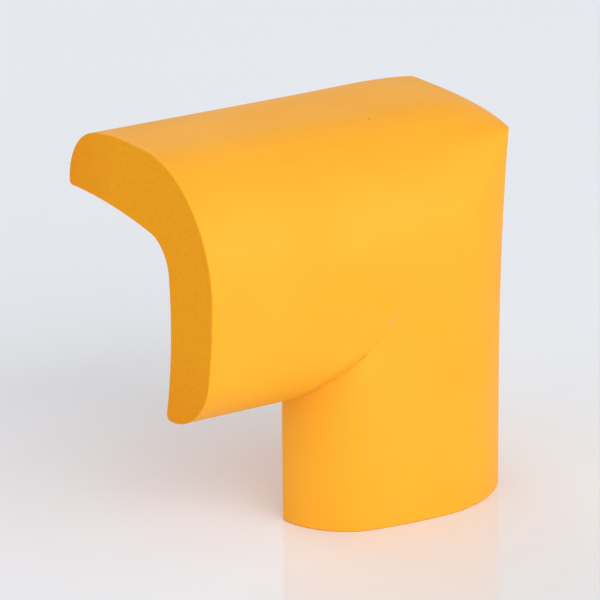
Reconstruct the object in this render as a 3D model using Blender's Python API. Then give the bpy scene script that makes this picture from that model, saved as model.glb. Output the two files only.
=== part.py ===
"""Foam corner guard: a thick L-section strip of closed-cell foam, turned once through a right angle.

The strip's front flange is notched and bonded along a mitre. Its side flange is folded without a cut, so the ridge
over the fold is a soft bend, almost straight, that rises to a pointed vertex at the front. Both ends are square cuts.
A section point has two sizes: depth, measured back from the front plane, and drop, measured in from the outer
plane of the side flange. Sizes are in millimetres and turned into metres when the mesh is made.
"""
import math

import bmesh
import bpy

MM = 0.001

# Overall sizes
ARM_LENGTH = 59.7
LEG_LENGTH = 59.9
FLANGE_WIDTH = 40.0

# Section of the strip
FRONT_EDGE_THICKNESS = 9.8
FRONT_ROOT_THICKENING = 2.5
SIDE_EDGE_THICKNESS = 8.4
SIDE_ROOT_THICKENING = 4.6
OUTER_RADIUS = 18.8
FRONT_EDGE_RADIUS = 8.6
SIDE_EDGE_RADIUS = 7.4
FRONT_LIP_RADIUS = 1.2
SIDE_LIP_RADIUS = 0.8
ROOT_RADIUS = 5.8

# The free edges lean inwards: nothing up to the start, then growing with the square of the distance
CURL_START = 18.0
FRONT_CURL = 3.5
SIDE_CURL = 2.2

# The ridge over the fold: its drop is level at the back and rises to the vertex at the front
FOLD_REACH = 12.0
RIDGE_DROP = 1.7
RIDGE_LEVEL_DEPTH = 33.2
RIDGE_POWER = 3.25
VERTEX_DEPTH = 6.9
VERTEX_DROP = 3.0

# The ridge's soft back end, and the bend of the front skin below the vertex, which fades out down the front
TIP_RADIUS = 3.4
TIP_START = 28.0
TIP_END = 36.0
FRONT_FOLD_RADIUS = 10.0
FRONT_FOLD_FULL = 10.0
FRONT_FOLD_FADE_START = 14.0
FRONT_FOLD_FADE_END = 30.0

# Foam pushed out of place by the fold: a keener outer edge along both arms, and a splayed free edge beside the fold
KEENING = 3.1
KEENING_REACH = 49.0
KEENING_POWER = 2.9
SPLAY_WIDTH = 1.5
SPLAY_REACH = 31.0
SPLAY_POWER = 2.0

# Bonded seam on the mitre: a hairline in a shallow valley of the front skin, which fades out halfway up the front
VALLEY_DEPTH = 0.9
VALLEY_REACH = 3.5
VALLEY_POWER = 2.0
VALLEY_FADE_START = 24.0
VALLEY_FADE_END = 33.0
SEAM_DEPTH = 0.3
SEAM_HALF_WIDTH = 0.3
SEAM_FADE_START = 24.5
SEAM_FADE_END = 27.0

# Depth in the foam at which the moves of the front skin die away
SKIN_FADE_START = 5.0
SKIN_FADE_END = 9.0

# Number of points on each round of the section and on each flat after it, starting at the outer edge
POINTS_PER_ARC = (14, 8, 4, 7, 4, 8)
POINTS_PER_FLAT = (3, 0, 4, 5, 0, 3)
STRAIGHT_RINGS = 6
FOLD_RINGS = 9

MITRE = math.radians(45)
SHARP_EDGE = math.radians(32)
FOAM_COLOUR = (0.991, 0.514, 0.051, 1.0)
FOAM_ROUGHNESS = 0.55


def clamp(value):
    """The value, held between 0 and 1."""
    return min(max(value, 0.0), 1.0)


def smooth_step(value, start, end):
    """Rise from 0 at start to 1 at end, level at both."""
    share = clamp((value - start) / (end - start))
    return share * share * (3 - 2 * share)


def rounded_corner(before, corner, after, radius, count):
    """Points on the arc that rounds a corner and touches both of its sides."""
    to_before = math.atan2(before[1] - corner[1], before[0] - corner[0])
    to_after = math.atan2(after[1] - corner[1], after[0] - corner[0])
    opening = (to_after - to_before + math.pi) % math.tau - math.pi
    half = abs(opening) / 2
    middle = to_before + opening / 2
    centre_x = corner[0] + math.cos(middle) * radius / math.sin(half)
    centre_y = corner[1] + math.sin(middle) * radius / math.sin(half)
    swing = math.copysign(math.pi / 2 - half, opening)
    points = []
    for step in range(count):
        angle = middle + math.pi + swing - 2 * swing * step / (count - 1)
        points.append((centre_x + radius * math.cos(angle), centre_y + radius * math.sin(angle)))
    return points


def curl(distance, amount):
    """How far a flange leans in at a distance from the outer edge of the L."""
    share = max(distance - CURL_START, 0.0) / (FLANGE_WIDTH - CURL_START)
    return amount * share * share


def free_edge_radius(radius, thickness, lip_radius):
    """Outer round of a free edge, limited so that the foam's thickness keeps room for the lip."""
    return min(radius, thickness - lip_radius)


def section(before_mitre):
    """Closed section of the strip as (depth, drop) points, at a distance before the mitre."""
    keening = KEENING * clamp(1 - before_mitre / KEENING_REACH) ** KEENING_POWER
    splay = SPLAY_WIDTH * clamp(1 - before_mitre / SPLAY_REACH) ** SPLAY_POWER
    side_width = FLANGE_WIDTH + splay
    root_depth = FRONT_EDGE_THICKNESS + FRONT_ROOT_THICKENING
    root_drop = SIDE_EDGE_THICKNESS + SIDE_ROOT_THICKENING
    corners = [
        (0.0, 0.0),
        (side_width, 0.0),
        (side_width, SIDE_EDGE_THICKNESS),
        (root_depth, root_drop),
        (FRONT_EDGE_THICKNESS, FLANGE_WIDTH),
        (0.0, FLANGE_WIDTH),
    ]
    radii = [
        OUTER_RADIUS - keening,
        free_edge_radius(SIDE_EDGE_RADIUS, SIDE_EDGE_THICKNESS, SIDE_LIP_RADIUS),
        SIDE_LIP_RADIUS,
        ROOT_RADIUS,
        FRONT_LIP_RADIUS,
        free_edge_radius(FRONT_EDGE_RADIUS, FRONT_EDGE_THICKNESS, FRONT_LIP_RADIUS),
    ]
    rounds = []
    for index, corner in enumerate(corners):
        after = corners[(index + 1) % len(corners)]
        rounds.append(rounded_corner(corners[index - 1], corner, after, radii[index], POINTS_PER_ARC[index]))
    points = []
    for index, arc in enumerate(rounds):
        points.extend(arc)
        last = arc[-1]
        following = rounds[(index + 1) % len(rounds)][0]
        for step in range(1, POINTS_PER_FLAT[index] + 1):
            share = step / (POINTS_PER_FLAT[index] + 1)
            flat_depth = last[0] + (following[0] - last[0]) * share
            flat_drop = last[1] + (following[1] - last[1]) * share
            points.append((flat_depth, flat_drop))
    return [(depth + curl(drop, FRONT_CURL), drop + curl(depth, SIDE_CURL)) for depth, drop in points]


def on_front_skin(depth, drop):
    """1 on the front skin of the strip, 0 on its inside. The curl doesn't count as depth in the foam."""
    return 1 - smooth_step(depth - curl(drop, FRONT_CURL), SKIN_FADE_START, SKIN_FADE_END)


def fold_radius(depth, drop):
    """Bend radius of the path that one section point takes round the fold."""
    rise = max(RIDGE_LEVEL_DEPTH - depth, 0.0) / (RIDGE_LEVEL_DEPTH - VERTEX_DEPTH)
    ridge_drop = RIDGE_DROP + (VERTEX_DROP - RIDGE_DROP) * rise ** RIDGE_POWER
    ridge_radius = (ridge_drop - drop) / (1 - math.sin(MITRE))
    tip_share = clamp((depth - TIP_START) / (TIP_END - TIP_START)) * clamp(1 - drop / SIDE_EDGE_THICKNESS)
    below_vertex = smooth_step(drop, VERTEX_DROP, FRONT_FOLD_FULL)
    faded = smooth_step(drop, FRONT_FOLD_FADE_START, FRONT_FOLD_FADE_END)
    front_share = below_vertex * (1 - faded) * on_front_skin(depth, drop)
    return max(ridge_radius, TIP_RADIUS * tip_share, FRONT_FOLD_RADIUS * front_share, 0.0)


def seam_sink(depth, drop, before_mitre):
    """How deep the valley and the hairline press the front skin in."""
    valley = VALLEY_DEPTH * clamp(1 - before_mitre / VALLEY_REACH) ** VALLEY_POWER
    hairline = SEAM_DEPTH * clamp(1 - before_mitre / SEAM_HALF_WIDTH)
    sink = valley * smooth_step(drop, VALLEY_FADE_START, VALLEY_FADE_END)
    sink += hairline * smooth_step(drop, SEAM_FADE_START, SEAM_FADE_END)
    return sink * on_front_skin(depth, drop)


def straight_ring(length, share):
    """One ring before the fold: share is 0 at the cut end and 1 where the fold starts."""
    ring = []
    for depth, drop in section(length * (1 - share) + FOLD_REACH * share):
        along = length * (1 - share) + (drop + FOLD_REACH) * share
        ring.append((along, depth, drop))
    return ring


def fold_ring(angle):
    """One ring of the fold: angle is 0 where it starts and 45 degrees on the mitre."""
    remaining = 1 - math.sin(angle) / math.sin(MITRE)
    ring = []
    for depth, drop in section(FOLD_REACH * remaining):
        radius = fold_radius(depth, drop)
        along = drop + radius * (1 - math.sin(angle)) + (FOLD_REACH - radius) * remaining
        down = drop + radius * (1 - math.cos(angle))
        sunk = depth + seam_sink(depth, drop, FOLD_REACH * remaining)
        ring.append((along, sunk, down))
    return ring


def half_rings(length):
    """Rings of (along, depth, down) from one cut end to the mitre."""
    rings = [straight_ring(length, index / STRAIGHT_RINGS) for index in range(STRAIGHT_RINGS)]
    seam_start = math.asin(math.sin(MITRE) * (1 - SEAM_HALF_WIDTH / FOLD_REACH))
    rings.extend(fold_ring(seam_start * index / FOLD_RINGS) for index in range(FOLD_RINGS + 1))
    rings.append(fold_ring(MITRE))
    return rings


def corner_guard_mesh():
    """The whole guard as one closed skin over the rings of the arm and of the leg."""
    arm = [[(-along, depth, -down) for along, depth, down in ring] for ring in half_rings(ARM_LENGTH)]
    leg = [[(-down, depth, -along) for along, depth, down in ring] for ring in half_rings(LEG_LENGTH)]
    rings = arm + leg[-2::-1]
    shape = bmesh.new()
    skin = [[shape.verts.new([MM * size for size in point]) for point in ring] for ring in rings]
    count = len(skin[0])
    for ring, following in zip(skin, skin[1:]):
        for index in range(count):
            beside = (index + 1) % count
            shape.faces.new((ring[index], ring[beside], following[beside], following[index]))
    shape.faces.new(skin[0])
    shape.faces.new(skin[-1])
    bmesh.ops.recalc_face_normals(shape, faces=shape.faces)
    lows = [min(vertex.co[axis] for vertex in shape.verts) for axis in range(3)]
    highs = [max(vertex.co[axis] for vertex in shape.verts) for axis in range(3)]
    base_centre = ((lows[0] + highs[0]) / 2, (lows[1] + highs[1]) / 2, lows[2])
    bmesh.ops.translate(shape, verts=shape.verts, vec=[-size for size in base_centre])
    mesh = bpy.data.meshes.new("corner_guard")
    shape.to_mesh(mesh)
    shape.free()
    return mesh


def foam_material():
    """Smooth orange skin of closed-cell foam."""
    material = bpy.data.materials.new("orange_foam")
    material.use_nodes = True
    surface = material.node_tree.nodes["Principled BSDF"]
    surface.inputs["Base Color"].default_value = FOAM_COLOUR
    surface.inputs["Roughness"].default_value = FOAM_ROUGHNESS
    surface.inputs["Metallic"].default_value = 0.0
    return material


for old in list(bpy.data.objects):
    bpy.data.objects.remove(old, do_unlink=True)

corner_guard = bpy.data.objects.new("corner_guard", corner_guard_mesh())
corner_guard.data.materials.append(foam_material())
corner_guard.data.shade_smooth()
corner_guard.data.set_sharp_from_angle(angle=SHARP_EDGE)

collection = bpy.data.collections.new("furniture_corner_guard")
bpy.context.scene.collection.children.link(collection)
collection.objects.link(corner_guard)
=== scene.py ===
# %% [markdown]
# # A foam corner guard, step by step
# The object is a soft guard for the corner of a table: one thick strip of closed-cell foam with an L section,
# turned once through a right angle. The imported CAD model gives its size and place. This lesson makes the foam
# piece that is seen in the render, then its two finishes, the studio and the camera.

# %% Load the frame
import math

import bmesh
import bpy
from mathutils import Matrix, Vector


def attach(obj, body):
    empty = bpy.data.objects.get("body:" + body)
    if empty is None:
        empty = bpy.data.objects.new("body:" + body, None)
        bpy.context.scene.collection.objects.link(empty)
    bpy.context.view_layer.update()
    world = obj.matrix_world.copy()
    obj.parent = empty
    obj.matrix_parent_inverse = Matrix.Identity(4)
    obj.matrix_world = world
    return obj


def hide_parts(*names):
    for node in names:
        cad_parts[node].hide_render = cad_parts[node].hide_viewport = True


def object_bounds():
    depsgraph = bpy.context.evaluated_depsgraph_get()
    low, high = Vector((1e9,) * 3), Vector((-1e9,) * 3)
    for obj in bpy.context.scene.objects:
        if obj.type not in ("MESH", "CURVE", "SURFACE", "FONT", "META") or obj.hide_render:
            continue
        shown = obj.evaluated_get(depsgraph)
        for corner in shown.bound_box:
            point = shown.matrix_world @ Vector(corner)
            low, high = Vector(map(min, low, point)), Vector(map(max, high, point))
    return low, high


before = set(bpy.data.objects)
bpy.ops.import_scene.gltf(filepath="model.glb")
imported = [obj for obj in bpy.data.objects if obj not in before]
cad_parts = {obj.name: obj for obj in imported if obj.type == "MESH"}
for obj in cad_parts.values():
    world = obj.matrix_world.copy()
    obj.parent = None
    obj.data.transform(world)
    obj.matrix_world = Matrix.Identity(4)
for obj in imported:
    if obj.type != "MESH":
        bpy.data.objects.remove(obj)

MM = 0.001
cad_low, cad_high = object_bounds()
cad_size = cad_high - cad_low
print("CAD box in mm:", [round(side / MM, 1) for side in cad_size])

# %% [markdown]
# ## The sizes of the strip
# A foam profile is described by its section. Two sizes place a point in it: depth, measured back from the
# front plane, and drop, measured in from the outer plane of the side flange. The outer corner of the L is a
# large round, the free edges are round on the outside and nearly square on the inside, and both flanges lean
# in a little towards their free edges, as soft foam does. All sizes are in millimetres, and they are the CAD
# model's own.

# %% Sizes
ARM_LENGTH = 59.7
LEG_LENGTH = 59.9
FLANGE_WIDTH = 40.0
SIDE_EDGE = 8.4
SIDE_ROOT = 13.0
FRONT_EDGE = 9.8
FRONT_ROOT = 12.3
OUTER_RADIUS = 18.8
CURL_START = 18.0
FRONT_CURL = 3.5
SIDE_CURL = 2.2
SIDE_EDGE_RADIUS = 7.4
FRONT_EDGE_RADIUS = 8.6
FRONT_LIP_RADIUS = 1.2
SIDE_LIP_RADIUS = 0.8
ROOT_RADIUS = 5.8

# Each corner of the section: depth, drop and the radius that rounds it
SECTION_CORNERS = [
    (0.0, 0.0, OUTER_RADIUS),
    (FLANGE_WIDTH, 0.0, SIDE_EDGE_RADIUS),
    (FLANGE_WIDTH, SIDE_EDGE, SIDE_LIP_RADIUS),
    (FRONT_ROOT, SIDE_ROOT, ROOT_RADIUS),
    (FRONT_EDGE, FLANGE_WIDTH, FRONT_LIP_RADIUS),
    (0.0, FLANGE_WIDTH, FRONT_EDGE_RADIUS),
]
print("Foam thickness in mm:", SIDE_EDGE, "to", SIDE_ROOT, "and", FRONT_EDGE, "to", FRONT_ROOT)

# %% [markdown]
# ## The section as a face
# Six corner points make a plain L-shaped face. A vertex bevel with a profile of 0.5 turns each corner into an
# arc. An arc touches the sides of a corner at radius / tan(half the corner's angle), so that is the bevel's
# offset. The flats are then subdivided, so that every stretch of the outline has a point about every 0.7 mm.
# Points that lie this close let the later steps bend the foam smoothly.

# %% Draw the section
POINT_SPACING = 0.7 * MM
FEWEST_ARC_STEPS = 4


def corner_offset(corners, index):
    """Distance from a corner at which its round touches the sides."""
    here = Vector(corners[index][:2])
    before = Vector(corners[index - 1][:2]) - here
    after = Vector(corners[(index + 1) % len(corners)][:2]) - here
    return corners[index][2] / math.tan(before.angle(after) / 2)


strip = bmesh.new()
corner_points = [strip.verts.new((0, depth * MM, -drop * MM)) for depth, drop, radius in SECTION_CORNERS]
strip.faces.new(corner_points)
for index, (point, corner) in enumerate(zip(corner_points, SECTION_CORNERS)):
    bmesh.ops.bevel(
        strip,
        geom=[point],
        offset=corner_offset(SECTION_CORNERS, index) * MM,
        segments=max(FEWEST_ARC_STEPS, round(corner[2] * MM * math.pi / 2 / POINT_SPACING)),
        profile=0.5,
        affect="VERTICES",
        material=-1,
    )
for edge in list(strip.edges):
    cuts = round(edge.calc_length() / POINT_SPACING) - 1
    if cuts > 0:
        bmesh.ops.subdivide_edges(strip, edges=[edge], cuts=cuts)
print("Points round the section:", len(strip.verts))

# %% [markdown]
# ## Remember each point's place round the strip
# The die that the foam was pressed through leaves faint lines along the strip, and the strip turns a corner.
# So each point keeps its place on the strip: the section's outline is rolled up into a circle of the same
# length, which gives two numbers with no jump where the outline closes, and the distance before the mitre
# will be the third.

# %% Store the place round the strip
strip_place = strip.verts.layers.float_vector.new("strip_place")
outline_loops = strip.faces[:][0].loops[:]
outline_length = sum(loop.edge.calc_length() for loop in outline_loops)
roll_radius = outline_length / (2 * math.pi)
walked = 0.0
for loop in outline_loops:
    turn = walked / roll_radius
    loop.vert[strip_place] = Vector((math.cos(turn), math.sin(turn), 0)) * roll_radius
    walked += loop.edge.calc_length()
print("Length round the section in mm:", round(outline_length / MM, 1))

# %% [markdown]
# ## Pull the strip out of the section
# The strip is extruded from the section, one ring after another, from the mitre to the cut end of the arm.
# Rings lie 0.1 mm apart at the mitre, where the seam is only a hair wide, and 0.9 mm apart along the plain
# arm. The last one is short, which keeps the shading of the cut's rim from spreading over the skin. The
# operator leaves the old end face inside the foam, so it is deleted each time, and the strip stays open on
# the mitre. At this stage the x coordinate only stores the distance before the mitre.

# %% Extrude the rings
FIRST_RING = 0.1
RING_GROWTH = 0.16
PLAIN_RING = 0.9
LAST_RING = 0.3

station = 0.0
stations = []
while station < ARM_LENGTH - PLAIN_RING:
    station += min(PLAIN_RING, FIRST_RING + RING_GROWTH * station)
    stations.append(station)
stations[-1] = ARM_LENGTH - LAST_RING
stations.append(ARM_LENGTH)
end_face = strip.faces[:][0]
reached = 0.0
for station in stations:
    grown = bmesh.ops.extrude_face_region(strip, geom=[end_face])
    bmesh.ops.delete(strip, geom=[end_face], context="FACES_ONLY")
    new_points = [part for part in grown["geom"] if isinstance(part, bmesh.types.BMVert)]
    bmesh.ops.translate(strip, verts=new_points, vec=((reached - station) * MM, 0, 0))
    end_face = next(part for part in grown["geom"] if isinstance(part, bmesh.types.BMFace))
    reached = station
print("Rings on one arm:", len(stations) + 1)

# %% [markdown]
# ## Rules for soft foam
# A real guard is folded from a straight strip, with a notch cut out of the front flange. Folding pushes the
# foam about, and each effect below is a small rule that moves a point, which is a sculptor's move made exact.
# Near the fold the outer edge gets keener and the free edge splays. The flanges lean in all along, and the
# side flange is a little fuller just before its free edge, as foam is where a die lets it swell.

# %% Press the section
KEENING = 3.1
KEENING_REACH = 49.0
KEENING_POWER = 2.9
SPLAY = 1.5
SPLAY_REACH = 31.0
SPLAY_POWER = 2.0
CROWN = 0.3
CROWN_RISE = (19.0, 27.0)
CROWN_FALL = (27.0, 35.0)
ARC_WIDTH = 0.2


def clamp(value):
    """The value, held between 0 and 1."""
    return min(max(value, 0.0), 1.0)


def smooth_step(value, start, end):
    """Rise from 0 at start to 1 at end, level at both."""
    share = clamp((value - start) / (end - start))
    return share * share * (3 - 2 * share)


def press_section(before_mitre, depth, drop):
    """Keen the outer edge, swell the side flange, splay its free edge and lean both flanges in."""
    keening = KEENING * clamp(1 - before_mitre / KEENING_REACH) ** KEENING_POWER
    on_outer_round = depth <= OUTER_RADIUS and drop <= OUTER_RADIUS and math.hypot(
        depth - OUTER_RADIUS, drop - OUTER_RADIUS
    ) > OUTER_RADIUS - ARC_WIDTH
    if on_outer_round:
        depth *= 1 - keening / OUTER_RADIUS
        drop *= 1 - keening / OUTER_RADIUS
    crown = CROWN * smooth_step(depth, *CROWN_RISE) * (1 - smooth_step(depth, *CROWN_FALL))
    drop -= crown * clamp(1 - drop / SIDE_EDGE)
    splay = SPLAY * clamp(1 - before_mitre / SPLAY_REACH) ** SPLAY_POWER
    depth += splay * clamp((depth - OUTER_RADIUS) / (FLANGE_WIDTH - SIDE_EDGE_RADIUS - OUTER_RADIUS))
    front_share = max(drop - CURL_START, 0.0) / (FLANGE_WIDTH - CURL_START)
    side_share = max(depth - CURL_START, 0.0) / (FLANGE_WIDTH - CURL_START)
    return depth + FRONT_CURL * front_share ** 2, drop + SIDE_CURL * side_share ** 2


print("Outer radius in mm at the mitre:", round(OUTER_RADIUS - KEENING, 1))

# %% [markdown]
# ## How the skin turns the corner
# The side flange bends round the outside of the fold, and the line where it turns is the ridge of the guard.
# That ridge is almost straight, and rises a little to the pointed vertex at the front. So the rule gives the
# ridge, and the bend radius of each point follows from it. Foam near the inside of the fold doesn't bend, it
# is only pressed together. Below the vertex the front skin is drawn round with a soft radius too, so no
# crease shows there.

# %% Fold radius
MITRE = math.radians(45)
FOLD_REACH = 12.0
RIDGE_DROP = 1.7
RIDGE_LEVEL_DEPTH = 33.2
RIDGE_POWER = 3.25
VERTEX_DEPTH = 6.9
VERTEX_DROP = 3.0
TIP_RADIUS = 3.4
TIP_START = 28.0
TIP_END = 36.0
FRONT_FOLD_RADIUS = 10.0
FRONT_FOLD_FULL = 6.0
FRONT_FOLD_FADE = (14.0, 30.0)
FRONT_SKIN = (5.0, 9.0)


def on_front_skin(raw_depth):
    """1 on the front skin of the strip, 0 on its inside."""
    return 1 - smooth_step(raw_depth, *FRONT_SKIN)


def fold_radius(depth, drop, raw_depth):
    """Bend radius of the path that one point of the section takes round the fold."""
    rise = max(RIDGE_LEVEL_DEPTH - depth, 0.0) / (RIDGE_LEVEL_DEPTH - VERTEX_DEPTH)
    ridge_drop = RIDGE_DROP + (VERTEX_DROP - RIDGE_DROP) * rise ** RIDGE_POWER
    ridge_radius = (ridge_drop - drop) / (1 - math.sin(MITRE))
    at_the_tip = clamp((depth - TIP_START) / (TIP_END - TIP_START)) * clamp(1 - drop / SIDE_EDGE)
    front_share = smooth_step(drop, VERTEX_DROP, FRONT_FOLD_FULL) * (1 - smooth_step(drop, *FRONT_FOLD_FADE))
    front_radius = FRONT_FOLD_RADIUS * front_share * on_front_skin(raw_depth)
    return max(ridge_radius, TIP_RADIUS * at_the_tip, front_radius, 0.0)


print("Bend radius in mm halfway back:", round(fold_radius(FLANGE_WIDTH / 2, 0, FLANGE_WIDTH / 2), 1))

# %% [markdown]
# ## The glued seam
# The notch in the front flange is closed with glue, which leaves a hairline seam in a shallow valley. The
# seam starts at the inner corner and fades out halfway up, where the foam was never cut through. It is open
# in places, with dirt in the crack there and shade falling into it, so its place is stored on the mesh too,
# and the skin's material will draw the dirt together with painted shade.

# %% Seam rules
VALLEY_DEPTH = 0.7
VALLEY_REACH = 3.5
VALLEY_FADE = (28.0, 38.0)
SEAM_DEPTH = 0.06
SEAM_HAIR = 0.12
SEAM_FADE = (24.5, 27.0)
SEAM_PAINT_REACH = 0.3


def seam_sink(before_mitre, drop, raw_depth):
    """How deep the valley and the hairline press the front skin in."""
    valley = VALLEY_DEPTH * (1 - smooth_step(before_mitre, 0, VALLEY_REACH)) * smooth_step(drop, *VALLEY_FADE)
    hairline = SEAM_DEPTH * clamp(1 - before_mitre / SEAM_HAIR) * smooth_step(drop, *SEAM_FADE)
    return (valley + hairline) * on_front_skin(raw_depth)


def seam_strength(before_mitre, drop, raw_depth):
    """1 on the seam, 0 away from it."""
    near_seam = clamp(1 - before_mitre / SEAM_PAINT_REACH)
    return near_seam * smooth_step(drop, *SEAM_FADE) * on_front_skin(raw_depth)


print("Seam length in mm:", round((FLANGE_WIDTH - SEAM_FADE[0]) / math.sin(MITRE), 1))

# %% [markdown]
# ## Bend the strip
# Now every point moves. The last ring lies square to the arm, as the cut does, and so does the one before it.
# From there the rings fan out like the pages of a book, until they lie in the mitre. In the last 12 mm each
# point also follows its own bend.

# %% Bend every point


def bend_point(before_mitre, raw_depth, raw_drop, length):
    """Place of a strip point on the arm, as (along, depth, down) from the outer corner."""
    depth, drop = press_section(before_mitre, raw_depth, raw_drop)
    if before_mitre > FOLD_REACH:
        fan_end = length - LAST_RING
        fanned = min(before_mitre, fan_end)
        share = (fan_end - fanned) / (fan_end - FOLD_REACH)
        along = fan_end * (1 - share) + (drop + FOLD_REACH) * share + before_mitre - fanned
        return along, depth, drop
    remaining = before_mitre / FOLD_REACH
    angle = math.asin((1 - remaining) * math.sin(MITRE))
    radius = fold_radius(depth, drop, raw_depth)
    along = drop + radius * (1 - math.sin(angle)) + (FOLD_REACH - radius) * remaining
    down = drop + radius * (1 - math.cos(angle))
    return along, depth + seam_sink(before_mitre, raw_drop, raw_depth), down


seam_mark = strip.verts.layers.float.new("seam_mark")
for point in strip.verts:
    before_mitre, raw_depth, raw_drop = -point.co.x / MM, point.co.y / MM, -point.co.z / MM
    along, depth, down = bend_point(before_mitre, raw_depth, raw_drop, ARM_LENGTH)
    point.co = Vector((-along, depth, -down)) * MM
    point[strip_place] += Vector((0, 0, before_mitre * MM))
    point[seam_mark] = seam_strength(before_mitre, raw_drop, raw_depth)
print("Points moved on the arm:", len(strip.verts))

# %% [markdown]
# ## Mirror the arm into the leg
# The leg is the arm's mirror image across the mitre plane, which leans at 45 degrees. The mirror operator can
# merge points only on a plane through the origin and square to an axis, so here the halves are made one skin
# afterwards, with remove_doubles. The real leg was cut 0.2 mm longer, so its end face is moved down by that.

# %% Mirror across the mitre
MERGE = 0.01

bmesh.ops.mirror(
    strip,
    geom=strip.verts[:] + strip.edges[:] + strip.faces[:],
    matrix=Matrix.Rotation(-MITRE, 4, "Y"),
    merge_dist=0,
    axis="X",
)
bmesh.ops.remove_doubles(strip, verts=strip.verts, dist=MERGE * MM)
leg_end = [point for point in strip.verts if point.co.z < (MERGE - ARM_LENGTH) * MM]
bmesh.ops.translate(strip, verts=leg_end, vec=(0, 0, (ARM_LENGTH - LEG_LENGTH) * MM))
bmesh.ops.recalc_face_normals(strip, faces=strip.faces)
open_edges = [edge for edge in strip.edges if not edge.is_manifold]
print("Open edges after the mirror:", len(open_edges))

# %% [markdown]
# ## Cut ends
# A knife leaves flat ends whose rim is only just softened. A three-step edge bevel makes the soft rim. The
# end face is then inset once, so that the smooth shading of the rim doesn't spread over the flat. The ends
# are the only faces with more than eight corners. They and their rims get the second material slot, because a
# cut shows open cells and the skin does not.

# %% Soften the rims and mark the cuts
RIM_BEVEL = 0.12
RIM_STEPS = 3
RIM_BAND = 0.3
CUT_SLOT = 1
MOST_CORNERS = 8

end_faces = [face for face in strip.faces if len(face.verts) > MOST_CORNERS]
rim_edges = [edge for face in end_faces for edge in face.edges]
rim_faces = bmesh.ops.bevel(
    strip,
    geom=rim_edges,
    offset=RIM_BEVEL * MM,
    segments=RIM_STEPS,
    profile=0.5,
    affect="EDGES",
    material=-1,
)["faces"]
end_faces = [face for face in strip.faces if len(face.verts) > MOST_CORNERS]
rim_bands = bmesh.ops.inset_individual(strip, faces=end_faces, thickness=RIM_BAND * MM)["faces"]
for face in strip.faces:
    face.smooth = True
for face in end_faces + rim_bands + rim_faces:
    face.material_index = CUT_SLOT
print("Faces on the cuts:", sum(face.material_index == CUT_SLOT for face in strip.faces))

# %% [markdown]
# ## Put the foam in its place
# So far the origin is the outer corner of the L. The guard's own frame has its origin in the middle of its
# base, so the mesh is moved by the CAD box's corner. The piece rides on the guard's one body and stands for
# the CAD node.

# %% Make the piece
outer_corner = Vector((cad_high.x, cad_low.y, cad_high.z))
bmesh.ops.translate(strip, verts=strip.verts, vec=outer_corner)
foam_mesh = bpy.data.meshes.new("foam_guard")
strip.to_mesh(foam_mesh)
strip.free()
foam_guard = bpy.data.objects.new("foam_guard", foam_mesh)
bpy.context.scene.collection.objects.link(foam_guard)
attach(foam_guard, "root")
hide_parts("corner_guard")
foam_mesh.calc_loop_triangles()
print("Triangles in the foam piece:", len(foam_mesh.loop_triangles))

# %% [markdown]
# ## Colours and nodes
# Colours are written as the sRGB hex values that a colour picker shows, and shaders want linear light, so one
# function turns one into the other. A second small function adds a node, sets its values and links its
# inputs.

# %% Helpers for materials


def linear(hex_colour):
    """Linear RGBA of an sRGB hex colour."""
    channels = [int(hex_colour[start:start + 2], 16) / 255 for start in (1, 3, 5)]
    return [c / 12.92 if c <= 0.04045 else ((c + 0.055) / 1.055) ** 2.4 for c in channels] + [1.0]


def add_node(tree, kind, settings=None, **inputs):
    """Add a node with settings. An input has its label or its number as a name, and is a value or a link."""
    node = tree.nodes.new(kind)
    for name, value in (settings or {}).items():
        setattr(node, name, value)
    for name, value in inputs.items():
        socket = node.inputs[int(name[1:])] if name[1:].isdigit() else node.inputs[name.replace("_", " ")]
        if isinstance(value, bpy.types.NodeSocket):
            tree.links.new(value, socket)
        else:
            socket.default_value = value
    return node


print("Mid grey in linear light:", [round(channel, 3) for channel in linear("#808080")[:3]])

# %% [markdown]
# ## Foam skin
# Nitrile foam is pressed hot through a die, and where it touches the die its cells close to a thin satin
# skin. To the eye that is a strong orange, a little uneven, with a soft gloss that shows as a pale veil where
# the surface is seen at a low angle. Faint die lines run along the strip. The unevenness is noise of about 14
# mm, and the die lines are noise of 0.7 mm, stretched fifty times along the strip.

# %% Foam skin colour
MOTTLE = 14.0
MOTTLE_RANGE = {"From_Min": 0.3, "From_Max": 0.7}
DEEP_SKIN = "#F8A81F"
PALE_SKIN = "#FBAD26"
DIE_LINE = 0.7
DIE_STRETCH = 0.02
DIE_RANGE = {"From_Min": 0.5, "From_Max": 0.8}
DIE_STRENGTH = 0.1
DIE_COLOUR = "#F2A01B"

foam_skin = bpy.data.materials.new("nitrile_foam_skin")
foam_skin.use_nodes = True
skin_tree = foam_skin.node_tree
skin = skin_tree.nodes["Principled BSDF"]
foam_mesh.materials.append(foam_skin)

skin_place = add_node(skin_tree, "ShaderNodeTexCoord").outputs["Object"]
mottle = add_node(
    skin_tree, "ShaderNodeTexNoise", Vector=skin_place, Scale=1 / (MOTTLE * MM), Detail=3.0
).outputs[0]
mottle_share = add_node(skin_tree, "ShaderNodeMapRange", Value=mottle, **MOTTLE_RANGE).outputs[0]
mottled = add_node(
    skin_tree, "ShaderNodeMix", {"data_type": "RGBA"},
    i0=mottle_share, i6=linear(DEEP_SKIN), i7=linear(PALE_SKIN),
).outputs[2]

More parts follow.
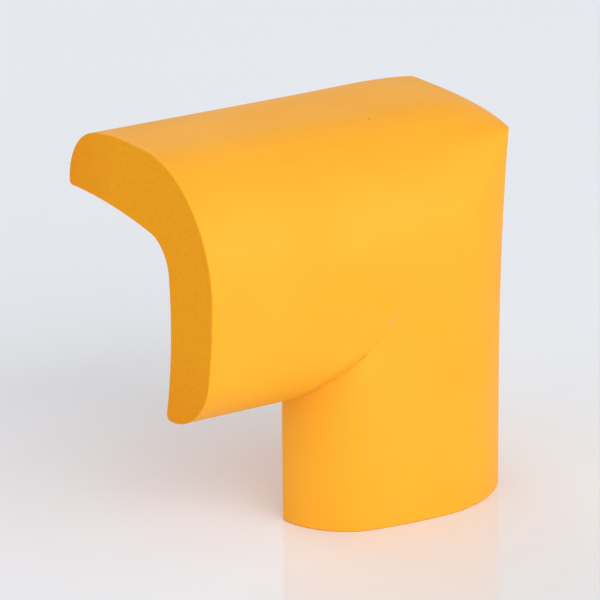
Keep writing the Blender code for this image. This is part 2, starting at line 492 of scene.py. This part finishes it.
on_strip = add_node(skin_tree, "ShaderNodeAttribute", {"attribute_name": "strip_place"}).outputs["Vector"]
along_die = add_node(skin_tree, "ShaderNodeMapping", Vector=on_strip, Scale=(1, 1, DIE_STRETCH)).outputs[0]
die_lines = add_node(
    skin_tree, "ShaderNodeTexNoise", Vector=along_die, Scale=1 / (DIE_LINE * MM), Detail=2.0
).outputs[0]
die_share = add_node(
    skin_tree, "ShaderNodeMapRange", Value=die_lines, To_Max=DIE_STRENGTH, **DIE_RANGE
).outputs[0]
lined = add_node(
    skin_tree, "ShaderNodeMix", {"data_type": "RGBA"},
    i0=die_share, i6=mottled, i7=linear(DIE_COLOUR),
).outputs[2]
print("Skin noise scales:", round(1 / (MOTTLE * MM)), round(1 / (DIE_LINE * MM)))

# %% [markdown]
# ## Painted shade, dirt and glue in the seam
# Where the seam is open its colour is painted dark: dirt sits in the crack, and the colour also paints the
# shade that falls into it. Where it is pressed shut it hardly shows. The stored seam mark says where the seam
# is, and a colour ramp over the height says how far it is open: a little at the inner corner, a thin line
# halfway up, then a few short nicks. Near its upper end some glue was squeezed out and dried paler. The last
# spot is small and dark, on top of the arm. Each spot fades out from its centre.

# %% Seam, glue and spots
SEAM_LOW = 19.5
SEAM_HIGH = 34.5
# Height of a place on the seam in millimetres, and how far it is open there, from 0 to 1
SEAM_OPENING = [
    (20.0, 0.0),
    (20.4, 0.15),
    (21.2, 0.1),
    (21.8, 0.0),
    (23.9, 0.0),
    (24.2, 0.2),
    (24.6, 0.05),
    (25.0, 0.25),
    (26.6, 0.2),
    (27.1, 0.4),
    (27.7, 0.4),
    (28.1, 0.0),
    (28.8, 0.1),
    (29.2, 0.05),
    (29.5, 0.25),
    (29.9, 0.0),
    (33.5, 0.0),
    (33.8, 0.25),
    (34.1, 0.0),
]
# Painted shade in the seam's crack, mixed with its dirt
SEAM_SHADE_AND_DIRT = "#8A5010"
# Colour of a spot, its place in metres, its radius in millimetres and its strength
SPOTS = [
    ("#FAAA62", (0.00167, -0.02013, 0.03265), 1.1, 0.4),
    ("#FAAA62", (0.00279, -0.02031, 0.03410), 0.8, 0.35),
    ("#B06A14", (0.00689, -0.00643, 0.05946), 0.35, 0.7),
]

skin_height = add_node(skin_tree, "ShaderNodeSeparateXYZ", i0=skin_place).outputs["Z"]
seam_height = add_node(
    skin_tree, "ShaderNodeMapRange",
    Value=skin_height, From_Min=SEAM_LOW * MM, From_Max=SEAM_HIGH * MM, To_Min=0, To_Max=1,
)
seam_opening = add_node(skin_tree, "ShaderNodeValToRGB", Fac=seam_height.outputs[0])
# A new ramp ends in white, and the seam's upper end is shut
seam_opening.color_ramp.elements[-1].color = (0, 0, 0, 1)
for height, opening in SEAM_OPENING:
    stop = seam_opening.color_ramp.elements.new((height - SEAM_LOW) / (SEAM_HIGH - SEAM_LOW))
    stop.color = (opening, opening, opening, 1)
seam_here = add_node(skin_tree, "ShaderNodeAttribute", {"attribute_name": "seam_mark"}).outputs["Fac"]
# Where the seam is open, its colour turns to painted shade and dirt
seam_shade_and_dirt = add_node(
    skin_tree, "ShaderNodeMath", {"operation": "MULTIPLY"}, i0=seam_here, i1=seam_opening.outputs["Color"]
)
skin_colour = add_node(
    skin_tree, "ShaderNodeMix", {"data_type": "RGBA"},
    i0=seam_shade_and_dirt.outputs[0], i6=lined, i7=linear(SEAM_SHADE_AND_DIRT),
).outputs[2]
for hex_colour, place, radius, strength in SPOTS:
    away = add_node(
        skin_tree, "ShaderNodeVectorMath", {"operation": "DISTANCE"}, i0=skin_place, i1=place
    ).outputs["Value"]
    spot = add_node(
        skin_tree, "ShaderNodeMapRange",
        Value=away, From_Min=0, From_Max=radius * MM, To_Min=strength, To_Max=0,
    ).outputs[0]
    skin_colour = add_node(
        skin_tree, "ShaderNodeMix", {"data_type": "RGBA"}, i0=spot, i6=skin_colour, i7=linear(hex_colour)
    ).outputs[2]
skin_tree.links.new(skin_colour, skin.inputs["Base Color"])
print("Spots on the skin:", len(SPOTS), "and stops along the seam:", len(SEAM_OPENING))

# %% [markdown]
# ## Satin of the skin
# Roughness a little over 0.5 gives foam skin its satin look. It follows the mottling, as rubbed places are
# smoother. The index of refraction of nitrile rubber is about 1.5, and a foam's skin reflects less, because
# it is pricked with closed cells of about a quarter of a millimetre. They are the bump.

# %% Foam skin gloss
SKIN_IOR = 1.33
DULL_ROUGHNESS = 0.58
RUBBED_ROUGHNESS = 0.5
SKIN_GRAIN = 0.25
SKIN_GRAIN_HEIGHT = 0.004

skin.inputs["IOR"].default_value = SKIN_IOR
skin_gloss = add_node(
    skin_tree, "ShaderNodeMapRange",
    Value=mottle, To_Min=DULL_ROUGHNESS, To_Max=RUBBED_ROUGHNESS, **MOTTLE_RANGE,
).outputs[0]
skin_tree.links.new(skin_gloss, skin.inputs["Roughness"])
skin_grain = add_node(
    skin_tree, "ShaderNodeTexNoise", Vector=skin_place, Scale=1 / (SKIN_GRAIN * MM), Detail=2.0
).outputs[0]
skin_bump = add_node(
    skin_tree, "ShaderNodeBump", Height=skin_grain, Distance=SKIN_GRAIN_HEIGHT * MM, Strength=1.0
).outputs[0]
skin_tree.links.new(skin_bump, skin.inputs["Normal"])
print("Skin roughness from", RUBBED_ROUGHNESS, "to", DULL_ROUGHNESS)

# %% [markdown]
# ## Knife-cut foam
# A cut opens the cells. The cut face is duller and deeper in colour than the skin, because light is lost in
# the open cells, and the knife drags faint lines across it. The cells are a Voronoi pattern of 0.35 mm, each
# a small pit, and the middle of each pit is painted darker, as painted shade in the pit. The drag lines are
# noise of 0.25 mm, stretched along the blade.

# %% Cut foam colour
CELL = 0.35
CELL_RANGE = {"From_Max": 0.6}
SHADED_CELL_PIT = "#EC9912"
CELL_WALL = "#F5A317"
DRAG_LINE = 0.25
DRAG_STRETCH = 0.3
DRAG_RANGE = {"From_Min": 0.5, "From_Max": 0.75}
DRAG_STRENGTH = 0.3
DRAG_COLOUR = "#E49012"

foam_cut = bpy.data.materials.new("nitrile_foam_cut")
foam_cut.use_nodes = True
cut_tree = foam_cut.node_tree
cut = cut_tree.nodes["Principled BSDF"]
foam_mesh.materials.append(foam_cut)

cut_place = add_node(cut_tree, "ShaderNodeTexCoord").outputs["Object"]
cells = add_node(
    cut_tree, "ShaderNodeTexVoronoi", Vector=cut_place, Scale=1 / (CELL * MM)
).outputs["Distance"]
cell_share = add_node(cut_tree, "ShaderNodeMapRange", Value=cells, **CELL_RANGE).outputs[0]
# Painted shade: each cell is darker towards the middle of its pit
cell_colour = add_node(
    cut_tree, "ShaderNodeMix", {"data_type": "RGBA"},
    i0=cell_share, i6=linear(SHADED_CELL_PIT), i7=linear(CELL_WALL),
).outputs[2]
along_blade = add_node(cut_tree, "ShaderNodeMapping", Vector=cut_place, Scale=(1, DRAG_STRETCH, 1)).outputs[0]
drag_lines = add_node(
    cut_tree, "ShaderNodeTexNoise", Vector=along_blade, Scale=1 / (DRAG_LINE * MM), Detail=3.0
).outputs[0]
drag_share = add_node(
    cut_tree, "ShaderNodeMapRange", Value=drag_lines, To_Max=DRAG_STRENGTH, **DRAG_RANGE
).outputs[0]
cut_colour = add_node(
    cut_tree, "ShaderNodeMix", {"data_type": "RGBA"},
    i0=drag_share, i6=cell_colour, i7=linear(DRAG_COLOUR),
).outputs[2]
print("Cells across the thin edge:", round(SIDE_EDGE / CELL))

# %% [markdown]
# ## A deeper orange towards the free edges
# The cut is drawn a deeper orange towards the free edges. A
# multiplying tint does this. It grows over the last 13 mm of each flange. In the side flange that is a
# distance to the back. In the front flange it is a distance down on the arm and to the left on the leg, and
# the smaller share of the two is the right one.

# %% Edge tint
TINT_START = 27.0
EDGE_TINT = "#FDEFDA"

cut_axes = add_node(cut_tree, "ShaderNodeSeparateXYZ", i0=cut_place).outputs
side_tint = add_node(
    cut_tree, "ShaderNodeMapRange",
    Value=cut_axes["Y"], From_Min=cad_low.y + TINT_START * MM, From_Max=cad_low.y + FLANGE_WIDTH * MM,
).outputs[0]
front_tints = [
    add_node(
        cut_tree, "ShaderNodeMapRange",
        Value=cut_axes[axis], From_Min=outer - TINT_START * MM, From_Max=outer - FLANGE_WIDTH * MM,
    ).outputs[0]
    for axis, outer in (("X", cad_high.x), ("Z", cad_high.z))
]
front_tint = add_node(
    cut_tree, "ShaderNodeMath", {"operation": "MINIMUM"}, i0=front_tints[0], i1=front_tints[1]
).outputs[0]
edge_tint = add_node(
    cut_tree, "ShaderNodeMath", {"operation": "MAXIMUM"}, i0=front_tint, i1=side_tint
).outputs[0]
tinted = add_node(
    cut_tree, "ShaderNodeMix", {"data_type": "RGBA", "blend_type": "MULTIPLY"},
    i0=edge_tint, i6=cut_colour, i7=linear(EDGE_TINT),
).outputs[2]
cut_tree.links.new(tinted, cut.inputs["Base Color"])
print("The tint grows over, in mm:", FLANGE_WIDTH - TINT_START)

# %% [markdown]
# ## Open cells don't shine
# The walls of open cells face all ways, so the cut has next to no gloss: it is rough and its index is low.
# The same Voronoi pattern is its bump, and the pits are 0.06 mm deep.

# %% Cut foam gloss
CUT_IOR = 1.2
CUT_ROUGHNESS = 0.85
CELL_DEPTH = 0.06
CELL_BUMP = 0.6

cut.inputs["IOR"].default_value = CUT_IOR
cut.inputs["Roughness"].default_value = CUT_ROUGHNESS
cell_bump = add_node(
    cut_tree, "ShaderNodeBump", Height=cells, Distance=CELL_DEPTH * MM, Strength=CELL_BUMP
).outputs[0]
cut_tree.links.new(cell_bump, cut.inputs["Normal"])
print("Materials on the foam:", [material.name for material in foam_mesh.materials])

# %% [markdown]
# ## Floor
# The guard stands on a pale glossy sheet, wide enough to fill the picture, which mirrors it faintly. The
# sheet lies a hair below the base, as two faces in one plane would flicker.

# %% Studio floor
FLOOR_HALF_WIDTH = 1.5
FLOOR_GAP = 0.02
FLOOR_COLOUR = "#EEEFF5"
FLOOR_ROUGHNESS = 0.08
FLOOR_IOR = 1.37

floor_shape = bmesh.new()
bmesh.ops.create_grid(floor_shape, x_segments=1, y_segments=1, size=FLOOR_HALF_WIDTH)
floor_mesh = bpy.data.meshes.new("studio_floor")
floor_shape.to_mesh(floor_mesh)
floor_shape.free()
studio_floor = bpy.data.objects.new("studio_floor", floor_mesh)
studio_floor.location.z = -FLOOR_GAP * MM
bpy.context.scene.collection.objects.link(studio_floor)
floor_sheet = bpy.data.materials.new("pale_glossy_sheet")
floor_sheet.use_nodes = True
sheet = floor_sheet.node_tree.nodes["Principled BSDF"]
sheet.inputs["Base Color"].default_value = linear(FLOOR_COLOUR)
sheet.inputs["Roughness"].default_value = FLOOR_ROUGHNESS
sheet.inputs["IOR"].default_value = FLOOR_IOR
floor_mesh.materials.append(floor_sheet)
print("Floor width in m:", 2 * FLOOR_HALF_WIDTH)

# %% [markdown]
# ## Studio walls
# White walls light the guard from all sides. They are the world: brighter low down, where the lamps reach,
# and darker towards the ceiling. That gradient is what the pale veil on top of the arm reflects.

# %% World light
WALL_LIGHT = 0.93
WALL_TOP = 0.25
CEILING_LIGHT = 0.55
CEILING_START = 0.8
WALL_COLOUR = "#F5F9FA"

world = bpy.data.worlds.new("studio")
world.use_nodes = True
world_tree = world.node_tree
background = world_tree.nodes["Background"]
sky_direction = add_node(world_tree, "ShaderNodeTexCoord").outputs["Generated"]
sky_height = add_node(world_tree, "ShaderNodeSeparateXYZ", i0=sky_direction).outputs["Z"]
sky_light = add_node(
    world_tree, "ShaderNodeMapRange",
    Value=sky_height, From_Min=WALL_TOP, From_Max=CEILING_START, To_Min=WALL_LIGHT, To_Max=CEILING_LIGHT,
).outputs[0]
background.inputs["Color"].default_value = linear(WALL_COLOUR)
world_tree.links.new(sky_light, background.inputs["Strength"])
bpy.context.scene.world = world
print("World light from", CEILING_LIGHT, "to", WALL_LIGHT)

# %% [markdown]
# ## Softboxes
# The main light is a wide softbox in front and a little above. It gives the front its even brightness and
# leaves the cut end and the underside of the arm darker. A back light lifts the far rims, and two weak ones
# fill the sides. Each faces the middle of the guard.

# %% Place the softboxes
# Name, place in metres, width in metres and power in watts
SOFTBOXES = [
    ("front_softbox", (0.05, -1.1, 0.45), 1.4, 12.1),
    ("left_softbox", (-1.2, -0.1, 0.4), 0.7, 1.5),
    ("right_softbox", (1.25, -0.25, 0.35), 0.6, 0.4),
    ("back_softbox", (0.0, 1.3, 0.8), 1.0, 4.2),
]
GUARD_MIDDLE = (cad_low + cad_high) / 2

for name, place, width, power in SOFTBOXES:
    lamp = bpy.data.lights.new(name, "AREA")
    lamp.shape = "SQUARE"
    lamp.size = width
    lamp.energy = power
    softbox = bpy.data.objects.new(name, lamp)
    softbox.location = place
    softbox.rotation_euler = (GUARD_MIDDLE - Vector(place)).to_track_quat("-Z", "Y").to_euler()
    bpy.context.scene.collection.objects.link(softbox)
print("Softboxes:", len(SOFTBOXES))

# %% [markdown]
# ## Camera
# The photograph was taken from the left of the front and from a little above. Its edges hardly run together,
# so it was taken with a long lens. These numbers come from matching the guard's outline: the point that the
# camera looks at, its azimuth from the front, its elevation, a very small roll, and its distance.

# %% Camera
AIM = Vector((-3.230, -2.817, 32.008)) * MM
AZIMUTH = math.radians(32.969)
ELEVATION = math.radians(18.712)
ROLL = math.radians(0.448)
DISTANCE = 647.17 * MM
LENS = 258.87
SENSOR = 36.0

camera_data = bpy.data.cameras.new("camera")
camera_data.lens = LENS
camera_data.sensor_width = SENSOR
camera_data.clip_end = 4 * FLOOR_HALF_WIDTH
camera = bpy.data.objects.new("camera", camera_data)
looking = Vector((
    math.sin(AZIMUTH) * math.cos(ELEVATION),
    math.cos(AZIMUTH) * math.cos(ELEVATION),
    -math.sin(ELEVATION),
))
camera.location = AIM - looking * DISTANCE
level = looking.to_track_quat("-Z", "Y").to_matrix()
camera.rotation_euler = (level @ Matrix.Rotation(-ROLL, 3, "Z")).to_euler()
bpy.context.scene.collection.objects.link(camera)
bpy.context.scene.camera = camera
bpy.context.scene.view_settings.view_transform = "Standard"
print("Camera at, in mm:", [round(size / MM) for size in camera.location])
